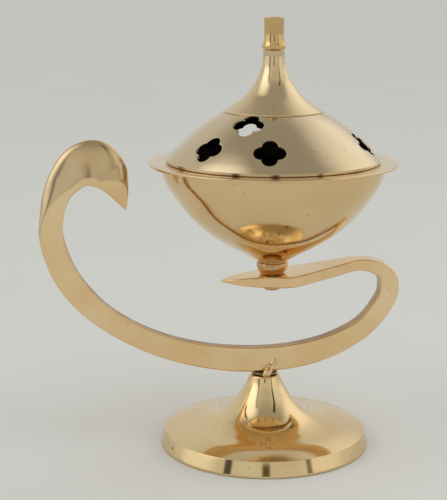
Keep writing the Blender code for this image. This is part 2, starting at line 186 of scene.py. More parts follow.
# ---------------------------------------------------------------- materials
class Graph:
    """Small helper round a material's node tree."""

    def __init__(self, name):
        self.material = bpy.data.materials.new(name)
        self.material.use_nodes = True
        self.tree = self.material.node_tree
        self.shader = self.tree.nodes["Principled BSDF"]

    def node(self, kind, **settings):
        made = self.tree.nodes.new(kind)
        for key, value in settings.items():
            setattr(made, key, value)
        return made

    def link(self, output, socket):
        self.tree.links.new(output, socket)

    def set(self, node, **values):
        for key, value in values.items():
            node.inputs[key.replace("_", " ")].default_value = value
        return node

    def object_point(self):
        return self.node("ShaderNodeTexCoord").outputs["Object"]

    def noise(self, vector, scale, detail=3.0, roughness=0.5):
        made = self.node("ShaderNodeTexNoise")
        self.set(made, Scale=scale, Detail=detail, Roughness=roughness)
        self.link(vector, made.inputs["Vector"])
        return made.outputs["Fac"]

    def line_noise(self, value, scale, detail=2.0):
        made = self.node("ShaderNodeTexNoise", noise_dimensions='1D')
        self.set(made, Scale=scale, Detail=detail)
        self.link(value, made.inputs["W"])
        return made.outputs["Fac"]

    def ramp(self, value, low, high, first, last):
        """Map value from low..high to first..last, clamped."""
        made = self.node("ShaderNodeMapRange")
        for key, number in zip(("From Min", "From Max", "To Min", "To Max"), (low, high, first, last)):
            made.inputs[key].default_value = number
        self.link(value, made.inputs["Value"])
        return made.outputs["Result"]

    def mix(self, factor, first, second):
        """Mix two colours; each is a colour or an output."""
        made = self.node("ShaderNodeMix", data_type='RGBA')
        if isinstance(factor, (int, float)):
            made.inputs["Factor"].default_value = factor
        else:
            self.link(factor, made.inputs["Factor"])
        for socket, value in ((made.inputs[6], first), (made.inputs[7], second)):
            if isinstance(value, tuple):
                socket.default_value = (*value, 1.0)
            else:
                self.link(value, socket)
        return made.outputs[2]

    def math(self, operation, first, second):
        made = self.node("ShaderNodeMath", operation=operation)
        for socket, value in zip(made.inputs, (first, second)):
            if isinstance(value, (int, float)):
                socket.default_value = value
            else:
                self.link(value, socket)
        return made.outputs[0]

    def bump(self, height, strength, distance, before=None):
        made = self.node("ShaderNodeBump")
        self.set(made, Strength=strength, Distance=distance)
        self.link(height, made.inputs["Height"])
        if before is not None:
            self.link(before, made.inputs["Normal"])
        return made.outputs["Normal"]


def brass(name, light, dark, roughness, lines=0.0, cast=0.0, pits=0.5, tarnish=0.25, nick=None):
    """Polished brass: two tones, turning lines, cast unevenness, smears, pits, tarnish and one dark nick."""
    graph = Graph(name)
    point = graph.object_point()
    cloud = graph.noise(point, 28.0, 4.0)
    smear = graph.noise(point, 95.0, 5.0, 0.6)
    colour = graph.mix(graph.ramp(cloud, 0.35, 0.68, 0.0, 1.0), light, dark)
    rough = graph.ramp(smear, 0.35, 0.75, roughness * 0.75, roughness * 1.45)
    along = graph.node("ShaderNodeAttribute", attribute_name="along").outputs["Fac"]
    if lines:
        fine = graph.line_noise(along, 5.5, 3.0)
        broad = graph.line_noise(along, 0.9, 2.0)
        shade = graph.math('MULTIPLY', graph.ramp(fine, 0.40, 0.72, 0.0, 1.0), lines)
        colour = graph.mix(shade, colour, tuple(c * 0.72 for c in dark))
        worn = graph.math('MULTIPLY', graph.ramp(broad, 0.4, 0.7, 0.0, 1.0), 0.05 * lines)
        rough = graph.math('ADD', rough, worn)
    spots = graph.noise(point, 430.0, 2.0, 0.4)
    stain = graph.math('MULTIPLY', graph.ramp(spots, 0.69, 0.77, 0.0, 1.0), tarnish)
    colour = graph.mix(stain, colour, (0.33, 0.19, 0.08))
    cells = graph.node("ShaderNodeTexVoronoi", feature='F1')
    graph.set(cells, Scale=480.0)
    graph.link(point, cells.inputs["Vector"])
    rare = graph.ramp(graph.noise(point, 120.0, 1.0), 0.60, 0.66, 0.0, 1.0)
    pit = graph.math('MULTIPLY', graph.ramp(cells.outputs["Distance"], 0.10, 0.17, 1.0, 0.0), rare)
    pit = graph.math('MULTIPLY', pit, pits)
    if nick is not None:
        near = graph.node("ShaderNodeVectorMath", operation='DISTANCE')
        graph.link(point, near.inputs[0])
        near.inputs[1].default_value = nick
        mark = graph.math('ADD', near.outputs["Value"], graph.ramp(smear, 0.3, 0.7, -0.0004, 0.0004))
        pit = graph.math('MAXIMUM', pit, graph.ramp(mark, 0.0006, 0.0011, 1.0, 0.0))
    colour = graph.mix(pit, colour, (0.10, 0.06, 0.03))
    rough = graph.math('ADD', rough, graph.math('MULTIPLY', pit, 0.4))
    normal = graph.bump(graph.noise(point, 60.0, 3.0), 0.015 + 0.5 * cast, 0.0004)
    if lines:
        normal = graph.bump(fine, 0.10 * lines, 0.00003, normal)
    normal = graph.bump(graph.math('SUBTRACT', 1.0, pit), 0.25, 0.0001, normal)
    graph.link(colour, graph.shader.inputs["Base Color"])
    graph.link(rough, graph.shader.inputs["Roughness"])
    graph.link(normal, graph.shader.inputs["Normal"])
    graph.shader.inputs["Metallic"].default_value = 1.0
    return graph.material


def steel(name, colour, roughness):
    """Plain zinc-plated fixing, slightly dull and stained."""
    graph = Graph(name)
    point = graph.object_point()
    smear = graph.noise(point, 220.0, 4.0)
    tone = graph.mix(graph.ramp(smear, 0.4, 0.7, 0.0, 0.6), colour, tuple(c * 0.6 for c in colour))
    graph.link(tone, graph.shader.inputs["Base Color"])
    graph.link(graph.ramp(smear, 0.3, 0.7, roughness, roughness * 1.6), graph.shader.inputs["Roughness"])
    graph.link(graph.bump(smear, 0.15, 0.00005), graph.shader.inputs["Normal"])
    graph.shader.inputs["Metallic"].default_value = 1.0
    return graph.material


FOOT_BRASS = brass("foot_brass", (0.87, 0.68, 0.38), (0.80, 0.58, 0.30), 0.085, lines=0.35,
                   nick=(-0.0407, -0.0140, 0.0034))
HANDLE_BRASS = brass("handle_brass", (0.91, 0.70, 0.42), (0.82, 0.55, 0.26), 0.18, cast=0.30)
# Darker brass for the thumb leaf's facet: painted reflection of the darker surroundings.
LEAF_PAINTED_REFLECTION_BRASS = brass("leaf_painted_reflection_brass", (0.72, 0.55, 0.32), (0.62, 0.45, 0.24), 0.20, cast=0.05, pits=0.3,
                   tarnish=0.1)
BOWL_BRASS = brass("bowl_brass", (0.85, 0.64, 0.36), (0.78, 0.55, 0.29), 0.085, lines=0.30)
LID_BRASS = brass("lid_brass", (0.79, 0.65, 0.43), (0.70, 0.55, 0.34), 0.095, lines=0.55)
TIP_BRASS = brass("tip_brass", (0.81, 0.59, 0.28), (0.70, 0.47, 0.20), 0.09, lines=0.30)
SPIRE_BRASS = brass("spire_brass", (0.83, 0.67, 0.42), (0.76, 0.58, 0.33), 0.09, lines=0.45)
COLLAR_BRASS = brass("collar_brass", (0.74, 0.49, 0.24), (0.56, 0.33, 0.15), 0.15, lines=0.25, tarnish=0.6)
# Darker brass for the handle bar's inner side: painted reflection of the dark bowl, plus tarnish spots.
BAR_INNER_PAINTED_REFLECTION = brass("bar_inner_painted_reflection", (0.52, 0.34, 0.16), (0.30, 0.18, 0.08), 0.28, cast=0.6, tarnish=0.6)
STEEL = steel("fixing_steel", (0.62, 0.60, 0.56), 0.28)
SOLDER = steel("solder", (0.34, 0.26, 0.17), 0.36)
SMEAR = brass("brazed_smear", (0.88, 0.70, 0.42), (0.62, 0.44, 0.22), 0.20, cast=0.3)


def dark_inner_layer(name):
    """Dull near-black layer over metal, browner in places."""
    graph = Graph(name)
    point = graph.object_point()
    cloud = graph.noise(point, 70.0, 4.0, 0.6)
    graph.link(graph.mix(graph.ramp(cloud, 0.45, 0.8, 0.0, 1.0), (0.012, 0.010, 0.008), (0.10, 0.06, 0.03)),
               graph.shader.inputs["Base Color"])
    graph.link(graph.ramp(cloud, 0.4, 0.7, 0.85, 0.6), graph.shader.inputs["Roughness"])
    graph.link(graph.bump(graph.noise(point, 900.0, 3.0), 0.3, 0.0001), graph.shader.inputs["Normal"])
    return graph.material


DARK_INNER_MATERIAL = dark_inner_layer("dark_inner_layer")


def darken_inner_where(piece, test):
    """Give the dark inner layer to the faces for which test(centre, normal) holds."""
    piece.data.materials.append(DARK_INNER_MATERIAL)
    for face in piece.data.polygons:
        if test(face.center, face.normal):
            face.material_index = 1


def faces_axis(centre, normal):
    """True for a face that looks towards the turned piece's own line."""
    return normal.x * centre.x + normal.y * centre.y < 0.0


# ---------------------------------------------------------------- foot
def foot_profile():
    """Trumpet foot with a crisp bevelled edge and a hollow underside."""
    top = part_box("foot_shell")[1][2]
    edge = radius_of("foot_shell")
    wall = 1.2 * MM
    bevel = (0.0421, 0.0064)
    flare = smooth_curve([(0.0064, top - 0.0004), (0.0073, 0.0268), (0.0090, 0.0236), (0.0122, 0.0186),
                          (0.0160, 0.0145), (0.0205, 0.0117), (0.0270, 0.0098), (0.0350, 0.0083), bevel], 12)
    outer = rounded([(FOOT_HOLE, top), (0.0060, top), flare[0]], 0.0003)[:-1] + flare[:-1]
    corner = rounded([flare[-2], bevel, (edge, 0.0008), (edge, 0.0), (edge - wall, 0.0)], 0.0003)[1:-1]
    hollow = inward(flare[4:-4], wall)
    inner = [(edge - wall, 0.0), (bevel[0] - wall, bevel[1] - wall), *reversed(hollow),
             (0.0052, top - wall), (FOOT_HOLE, top - wall)]
    return outer + corner + inner


def make_foot():
    """Foot, solder seat, washer and slotted screw."""
    turned("foot", foot_profile(), FOOT_LINE, ROUND, FOOT_BRASS, STAND, "foot_shell", ring=True)
    low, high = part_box("foot_solder_seat")
    seat = radius_of("foot_solder_seat")
    profile = rounded([(FOOT_HOLE, high[2]), (seat - 0.0003, high[2]), (seat, (low[2] + high[2]) / 2),
                       (seat - 0.0002, low[2]), (FOOT_HOLE, low[2])], 0.0002)
    turned("solder_seat", profile, FOOT_LINE, NARROW, SOLDER, STAND, "foot_solder_seat", ring=True)
    washer("foot_washer_disc", "foot_washer", FOOT_LINE, FOOT_HOLE)
    make_screw()


def washer(name, node, line, hole):
    """Flat washer with rounded edges."""
    low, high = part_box(node)
    radius = radius_of(node)
    profile = rounded([(hole, high[2]), (radius, high[2]), (radius, low[2]), (hole, low[2]),
                       (hole, high[2] - 0.00005)], 0.00015)
    turned(name, profile, line, NARROW, STEEL, LID if node.startswith("lid") else STAND, node, ring=True)


def make_screw():
    """Pan-head screw with a slot, seen from under the foot."""
    low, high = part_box("foot_screw")
    head = radius_of("foot_screw")
    bottom = low[2]
    shank = FOOT_SHANK
    shoulder = bottom + 0.0022
    dome = [(head * math.sin(a), bottom + 0.0008 * (1 - math.cos(a)))
            for a in np.linspace(math.pi / 2, 0.0, 12)]
    thread = []
    pitch = 0.0005
    count = int((high[2] - shoulder - 0.0008) / pitch)
    for turn in range(count):
        crest = high[2] - 0.0005 - turn * pitch
        thread += [(shank, crest), (shank - 0.00018, crest - pitch / 2)]
    profile = [(0.0, high[2]), (shank - 0.0005, high[2]), *thread, (shank, shoulder), (head, shoulder), *dome]
    piece = turned("foot_fixing_screw", profile, FOOT_LINE, NARROW, STEEL, STAND, "foot_screw")
    slot = box_cutter("slot", (0.0008, 0.01, 0.0020), (FOOT_LINE.x, 0.0, bottom))
    carve(piece, slot)


def box_cutter(name, size, where):
    """Box mesh used only to cut a slot."""
    shape = bmesh.new()
    bmesh.ops.create_cube(shape, size=1.0, matrix=Matrix.Translation(where) @ Matrix.Diagonal((*size, 1.0)))
    mesh = bpy.data.meshes.new(name)
    shape.to_mesh(mesh)
    shape.free()
    cutter = bpy.data.objects.new(name, mesh)
    bpy.context.scene.collection.objects.link(cutter)
    return cutter


def carve(piece, cutter):
    """Apply an exact Boolean cut and drop the cutter."""
    modifier = piece.modifiers.new("cut", 'BOOLEAN')
    modifier.operation = 'DIFFERENCE'
    modifier.solver = 'EXACT'
    modifier.object = cutter
    evaluated = piece.evaluated_get(bpy.context.evaluated_depsgraph_get())
    mesh = bpy.data.meshes.new_from_object(evaluated)
    piece.modifiers.remove(modifier)
    piece.data = mesh
    mesh.set_sharp_from_angle(angle=math.radians(32.0))
    bpy.data.objects.remove(cutter, do_unlink=True)


# ---------------------------------------------------------------- handle
# Stations as in the CAD: x and z from the bowl's line, thickness, half depth (mm), crown share.
HANDLE_STATIONS = [
    (-60.6, 101.8, 0.8, 0.5, 0.0), (-62.2, 106.6, 5.6, 2.4, 0.0),
    (-64.2, 111.8, 10.6, 4.2, 0.5), (-67.2, 117.0, 15.6, 5.6, 1.0),
    (-72.5, 121.2, 18.0, 6.4, 1.0), (-79.3, 119.8, 16.4, 6.3, 1.0),
    (-85.2, 114.2, 12.8, 5.6, 1.0), (-88.8, 107.4, 10.5, 4.9, 0.8),
    (-90.5, 99.5, 9.6, 4.3, 0.4), (-90.9, 91.5, 9.7, 4.0, 0.0),
    (-88.5, 82.0, 10.0, 3.9, 0.0), (-83.5, 71.6, 9.9, 3.7, 0.0),
    (-73.9, 60.3, 9.5, 3.3, 0.0), (-61.6, 51.3, 9.1, 2.9, 0.0),
    (-47.9, 44.5, 9.4, 2.8, 0.0), (-33.3, 39.9, 9.8, 2.7, 0.0),
    (-18.0, 37.2, 10.4, 2.7, 0.0), (-2.5, 36.6, 10.4, 2.7, 0.0),
    (12.8, 38.1, 10.2, 2.8, 0.0), (27.1, 42.3, 9.2, 3.0, 0.0),
    (39.9, 49.8, 8.0, 3.4, 0.0), (48.3, 60.7, 7.6, 4.0, 0.0),
    (49.7, 67.5, 7.6, 4.3, 0.0), (47.9, 72.4, 6.8, 4.3, 0.0),
    (42.8, 75.5, 5.6, 4.2, 0.0), (35.5, 76.4, 4.6, 4.3, 0.0),
    (25.0, 74.5, 4.5, 6.9, 0.0), (15.5, 72.8, 4.5, 9.1, 0.0),
    (8.5, 71.6, 4.5, 10.5, 0.0), (3.5, 71.1, 4.5, 9.8, 0.0),
    (-3.5, 71.0, 4.5, 7.7, 0.0), (-10.0, 70.9, 3.8, 6.4, 0.0),
    (-15.0, 70.75, 2.6, 5.0, 0.0), (-19.0, 70.7, 1.3, 2.8, 0.0),
    (-21.6, 70.5, 0.5, 0.5, 0.0)]
STATION_STEPS = 14
CREASE_SHARE = 0.20
EDGE = 0.7               # rounding of the bar's corners, mm
INNER_FACES = 4          # faces either side of the middle of the bar's duller inner side, darkened as painted reflection
CREASE_FACE = 13         # first face past the crease of the thumb leaf, where the painted reflection starts


def section_half(thickness, depth, crown):
    """Half of a cross-section as (rise, side), from the inner face's middle to the outer face's middle."""
    edge = min(EDGE, thickness / 4, depth / 3)
    low = -thickness / 2
    crease = low + thickness * CREASE_SHARE
    corner = [(low + edge * (1 - math.cos(a)), depth - edge * (1 - math.sin(a)))
              for a in np.linspace(0.0, math.pi / 2, 5)]
    half = [(low, (depth - edge) * share) for share in (0.0, 0.35, 0.7, 0.9)] + corner
    shoulder = (thickness / 2 - edge) * (1 - crown) + crease * crown
    half += [(low + edge + (shoulder - low - edge) * share, depth) for share in (0.08, 0.33, 0.66, 0.92)]
    for share in np.linspace(0.0, 1.0, 19):
        angle = min(share / 0.35, 1.0) * math.pi / 2
        flat_side = depth - edge * (1 - math.cos(angle)) - (depth - edge) * max(share - 0.35, 0.0) / 0.65
        flat_rise = thickness / 2 - edge * (1 - math.sin(angle))
        ridge_rise = shoulder + (thickness / 2 - shoulder) * math.sin(share * math.pi / 2) ** 0.9
        ridge_side = depth * (1 - share) ** 0.85
        half.append((flat_rise * (1 - crown) + ridge_rise * crown,
                     flat_side * (1 - crown) + ridge_side * crown))
    return half


def handle_mesh():
    """Loft of the handle's sections, closed at both leaf tips."""
    stations = smooth_curve(HANDLE_STATIONS, STATION_STEPS)
    shape = bmesh.new()
    along_layer = shape.verts.layers.float.new("along")
    rings = []
    travelled = 0.0
    for index, (x, z, thickness, depth, crown) in enumerate(stations):
        before, after = stations[max(index - 1, 0)], stations[min(index + 1, len(stations) - 1)]
        along = Vector((after[0] - before[0], after[1] - before[1])).normalized()
        travelled += along.length * math.dist(before[:2], after[:2]) / 2
        half = section_half(max(thickness, 0.3), max(depth, 0.25), min(max(crown, 0.0), 1.0))
        around = half + [(rise, -side) for rise, side in reversed(half[1:-1])]
        ring = []
        for rise, side in around:
            point = Vector((x + along.y * rise, side, z - along.x * rise)) * MM
            vertex = shape.verts.new(point)
            vertex[along_layer] = travelled
            ring.append(vertex)
        rings.append(ring)
    for first, second, station in zip(rings, rings[1:], stations):
        ridged = station[4] > 0.02
        for index in range(len(first)):
            after = (index + 1) % len(first)
            face = shape.faces.new((first[index], first[after], second[after], second[index]))
            # The bar's inner faces take the darker brass of the painted reflection.
            if index < INNER_FACES or index >= len(first) - INNER_FACES:
                face.material_index = 1
            # The thumb leaf's facet past the crease takes the darker brass of the painted reflection.
            elif ridged and CREASE_FACE <= index < len(first) - CREASE_FACE:
                face.material_index = 2
    shape.faces.new(reversed(rings[0]))
    shape.faces.new(rings[-1])
    low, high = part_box("handle")
    for vertex in shape.verts:
        wave = noise.noise(vertex.co * 55.0) * 0.00007
        vertex.co += Vector((wave, wave * 0.6, wave))
        vertex.co.x = min(max(vertex.co.x, low[0] - BOWL_LINE.x), high[0] - BOWL_LINE.x)
    return finish_mesh(shape, "handle_casting", 40.0)


def smear_mesh():
    """Lumpy run of solder: x, y, z and radius in millimetres from the foot's line, closed at both ends."""
    path = smooth_curve([(-1.6, -5.3, 30.2, 0.10), (-0.8, -4.9, 30.6, 1.20), (0.5, -4.2, 31.4, 1.75),
                         (1.6, -3.1, 32.6, 1.75), (2.7, -2.5, 34.0, 1.45), (3.6, -2.3, 35.2, 1.35),
                         (4.4, -2.3, 36.4, 1.00), (4.9, -2.45, 37.0, 0.10)], 6)
    shape = bmesh.new()
    rings = []
    for index, (x, y, z, radius) in enumerate(path):
        before, after = path[max(index - 1, 0)], path[min(index + 1, len(path) - 1)]
        turn = (Vector(after[:3]) - Vector(before[:3])).to_track_quat('Z', 'Y')
        ring = []
        for step in range(20):
            angle = 2 * math.pi * step / 20
            lump = 1.0 + 0.18 * noise.noise(Vector((x, y + math.cos(angle), z + math.sin(angle))) * 1.1)
            offset = turn @ Vector((math.cos(angle), math.sin(angle), 0.0)) * radius * lump
            ring.append(shape.verts.new((Vector((x, y, z)) + offset) * MM))
        rings.append(ring)
    for first, second in zip(rings, rings[1:]):
        for index in range(20):
            after = (index + 1) % 20
            shape.faces.new((first[index], first[after], second[after], second[index]))
    shape.faces.new(reversed(rings[0]))
    shape.faces.new(rings[-1])
    return finish_mesh(shape, "solder_smear", 60.0)


def make_handle():
    """The S-shaped casting and the solder smear over the foot."""
    line = Vector((BOWL_LINE.x, 0.0, 0.0))
    casting = add_piece("handle_casting", handle_mesh(), line, HANDLE_BRASS, STAND, "handle")
    # Slot 1: the bar's inner side with its painted reflection.
    casting.data.materials.append(BAR_INNER_PAINTED_REFLECTION)
    # Slot 2: the thumb leaf's facet with its painted reflection.
    casting.data.materials.append(LEAF_PAINTED_REFLECTION_BRASS)
    add_piece("solder_smear", smear_mesh(), FOOT_LINE, SMEAR, STAND)


# ---------------------------------------------------------------- bowl
def bowl_profile():
    """Cast bowl with a thin turned rim flange."""
    bottom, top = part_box("bowl")[0][2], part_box("bowl")[1][2]
    rim = radius_of("bowl")
    side = smooth_curve([(0.0462, top - 0.0017), (0.0446, 0.1131), (0.0411, 0.1070), (0.0352, 0.0990),
                         (0.0277, 0.0918), (0.0199, 0.0866), (0.0120, 0.0822), (0.0072, bottom)], 12)
    inside = smooth_curve([(0.0072, 0.0820), (0.0120, 0.0843), (0.0190, 0.0885), (0.0262, 0.0936),
                           (0.0333, 0.1003), (0.0390, 0.1080), (0.0421, 0.1140), (0.0429, top - 0.0020)], 10)
    flange = rounded([(0.0429, top - 0.0006), (0.0429, top), (rim, top), (rim, top - 0.0010),
                      (0.0474, top - 0.0010), side[0]], 0.0004, 6)[1:-1]
    return flange + side + [(STUD_HOLE, bottom), (STUD_HOLE, 0.0820)] + inside


def make_bowl():
    """Bowl, collar bead, stud, washer and nut."""
    body = turned("bowl_body", bowl_profile(), BOWL_LINE, ROUND, BOWL_BRASS, STAND, "bowl", ring=True)
    darken_inner_where(body, lambda c, n: faces_axis(c, n) and c.z > 0.0815 and c.xy.length > 0.0040)
    low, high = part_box("bowl_collar")
    bead = smooth_curve([(0.0059, high[2] - 0.0007), (0.0064, high[2] - 0.0011), (0.0066, high[2] - 0.0020),
                         (0.0064, high[2] - 0.0032), (0.0056, low[2] + 0.0008), (0.0052, low[2])], 8)
    profile = [(STUD_HOLE, high[2]), (0.0063, high[2]), (0.0063, high[2] - 0.0004), *bead,
               (STUD_HOLE, low[2])]
    turned("collar_bead", profile, BOWL_LINE, NARROW, COLLAR_BRASS, STAND, "bowl_collar", ring=True)
    washer("bowl_washer_disc", "bowl_washer", BOWL_LINE, STUD_HOLE)
    nut("bowl_hex_nut", "bowl_nut", STAND, STUD_HOLE)
    make_stud()


def make_stud():
    """Stud with a low flat head, threaded at its top."""
    low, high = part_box("bowl_stud")
    head = radius_of("bowl_stud")
    shank = STUD_SHANK
    thread = []
    for turn in range(7):
        crest = high[2] - 0.0004 - turn * 0.0008
        thread += [(shank, crest), (shank - 0.00025, crest - 0.0004)]
    head_profile = rounded([(shank, low[2] + 0.0021), (head, low[2] + 0.0021), (head, low[2] + 0.0006),
                            (head - 0.0006, low[2]), (0.0, low[2])], 0.0004)
    profile = [(0.0, high[2]), (shank - 0.0004, high[2]), *thread, *head_profile]
    turned("bowl_fixing_stud", profile, BOWL_LINE, NARROW, COLLAR_BRASS, STAND, "bowl_stud")


def nut(name, node, body, hole):
    """Hexagon nut with turned-down corners at both ends."""
    low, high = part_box(node)
    across = max(high[0] - low[0], high[1] - low[1]) / 2
    flat = across * math.cos(math.pi / 6)
    turned_down = flat * 0.98
    bevel = (high[2] - low[2]) * 0.10
    levels = [(high[2], hole, hole), (high[2], 0.0, turned_down), (high[2] - bevel, 0.0, across),
              (low[2] + bevel, 0.0, across), (low[2], 0.0, turned_down), (low[2], hole, hole)]
    shape = bmesh.new()
    rows = []
    for level, least, most in levels:
        row = []
        for index in range(NUT_SIDES):
            angle = 2 * math.pi * index / NUT_SIDES
            from_flat = angle % (math.pi / 3) - math.pi / 6
            reach = max(least, min(flat / math.cos(from_flat), most))
            row.append(shape.verts.new((reach * math.cos(angle), reach * math.sin(angle), level)))
        rows.append(row)
    for upper, lower in [*zip(rows, rows[1:]), (rows[-1], rows[0])]:
        for index in range(NUT_SIDES):
            after = (index + 1) % NUT_SIDES
            shape.faces.new((upper[index], lower[index], lower[after], upper[after]))
    add_piece(name, finish_mesh(shape, name, 25.0), BOWL_LINE, STEEL, body, node)


# ---------------------------------------------------------------- lid
LID_TURN = math.radians(-122.0)
HOLE_SPREAD = math.radians(20.3)
LOBE = 0.0031
LOBE_OFFSET = 0.0032
LID_WALL = 0.0009
CIRCLE_SHARE = 0.99985   # a face inside the inner circle has its middle nearer than this
SEAM = 0.0002            # how far the fitted edges close up the CAD's seams


def dome_profile():
    """Outer line of the dome, from under the spire to its edge."""
    low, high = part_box("lid_dome")
    crown, edge, radius = high[2], low[2], radius_of("lid_dome")
    return smooth_curve([(0.0060, crown - 0.0001), (0.0120, crown - 0.0005), (0.0172, crown - 0.0013),
                         (0.0206, crown - 0.0024), (0.0262, 0.1374), (0.0320, 0.1330), (0.0372, 0.1285),
                         (0.0415, 0.1243), (radius, edge + 0.0009)], 10)


class Dome:
    """Height and slope of the dome's outer or inner surface at a radius."""

    def __init__(self, profile):
        self.radii = np.array([p[0] for p in profile])
        self.heights = np.array([p[1] for p in profile])
        self.slopes = np.gradient(self.heights, self.radii)

    def height(self, radius):
        return float(np.interp(radius, self.radii, self.heights))

    def slope(self, radius):
        return float(np.interp(radius, self.radii, self.slopes))


def quatrefoil_outline(grow, per_lobe=18):
    """Four arcs meeting between lobes; grow widens every lobe."""
    lobe = LOBE + grow
    swing = math.pi - math.asin(LOBE_OFFSET / lobe / math.sqrt(2)) - math.pi / 4
    points = []
    for quarter in range(4):
        facing = quarter * math.pi / 2
        for step in range(per_lobe):
            angle = facing - swing + 2 * swing * step / per_lobe
            points.append((math.cos(facing) * LOBE_OFFSET + lobe * math.cos(angle),
                           math.sin(facing) * LOBE_OFFSET + lobe * math.sin(angle)))
    return points


def hole_frames(outer):
    """Frames square to the dome at each cut-out's middle: (origin, down-slope, round, outward)."""
    frames = []
    for group in range(3):
        middle = LID_TURN + group * 2 * math.pi / 3
        for turn, radius in ((-HOLE_SPREAD, 0.0370), (0.0, 0.0256), (HOLE_SPREAD, 0.0370)):
            angle = middle + turn
            slope = outer.slope(radius)
            out = Vector((math.cos(angle), math.sin(angle), 0.0))
            down = Vector((out.x, out.y, slope)).normalized()
            side = Vector((-out.y, out.x, 0.0))
            frames.append((out * radius + Vector((0, 0, outer.height(radius))), down, side, down.cross(side)))
    return frames


def on_surface(frame_, point, surface, depth=0.0):
    """Drop a cut-out's outline point along the hole's line onto a dome surface."""
    origin, down, side, out = frame_
    base = origin + down * point[0] + side * point[1]
    shift = 0.0
    for _ in range(12):
        where = base + out * shift
        gap = where.z - surface.height(math.hypot(where.x, where.y))
        shift -= gap * 0.8
    return base + out * (shift - depth)


def pierced_sheet(loops, inner_edge, outer_edge, rings):
    """Points and triangles of the dome between two circles, with the cut-outs left open, from above."""
    points = []
    edges = []
    for loop in [circle(inner_edge), circle(outer_edge), *[[(p.x, p.y) for p in loop] for loop in loops]]:
        start = len(points)
        points += loop
        edges += [(start + i, start + (i + 1) % len(loop)) for i in range(len(loop))]
    holes = [np.array([(p.x, p.y) for p in loop]) for loop in loops]
    for ring in range(1, rings):
        radius = inner_edge + (outer_edge - inner_edge) * ring / rings
        for x, y in circle(radius):
            if all(math.dist((x, y), hole.mean(axis=0)) > 0.0066 or far_from(hole, x, y) for hole in holes):
                points.append((x, y))
    made = geometry.delaunay_2d_cdt([Vector(p) for p in points], edges, [], 0, 1e-7)
    vertices, faces = made[0], made[2]
    kept = []
    for face in faces:
        middle = sum((vertices[i] for i in face), Vector((0.0, 0.0))) / len(face)
        if middle.length < inner_edge * CIRCLE_SHARE or any(inside(hole, middle) for hole in holes):
            continue
        kept.append(face)
    return vertices, kept


def circle(radius):
    return [(radius * math.cos(2 * math.pi * i / ROUND), radius * math.sin(2 * math.pi * i / ROUND))
            for i in range(ROUND)]


def far_from(hole, x, y):
    """Outside the cut-out and clear of its edge."""
    distance = np.hypot(hole[:, 0] - x, hole[:, 1] - y).min()
    return distance > 0.0004 and not inside(hole, (x, y))


def inside(hole, point):
    """Even-odd test of a point against a closed outline."""
    x, y = point[0], point[1]
    following = np.roll(hole, -1, axis=0)
    crosses = (hole[:, 1] > y) != (following[:, 1] > y)
    with np.errstate(divide='ignore', invalid='ignore'):
        at = hole[:, 0] + (y - hole[:, 1]) * (following[:, 0] - hole[:, 0]) / (following[:, 1] - hole[:, 1])
    return bool(np.count_nonzero(crosses & (x < at)) % 2)


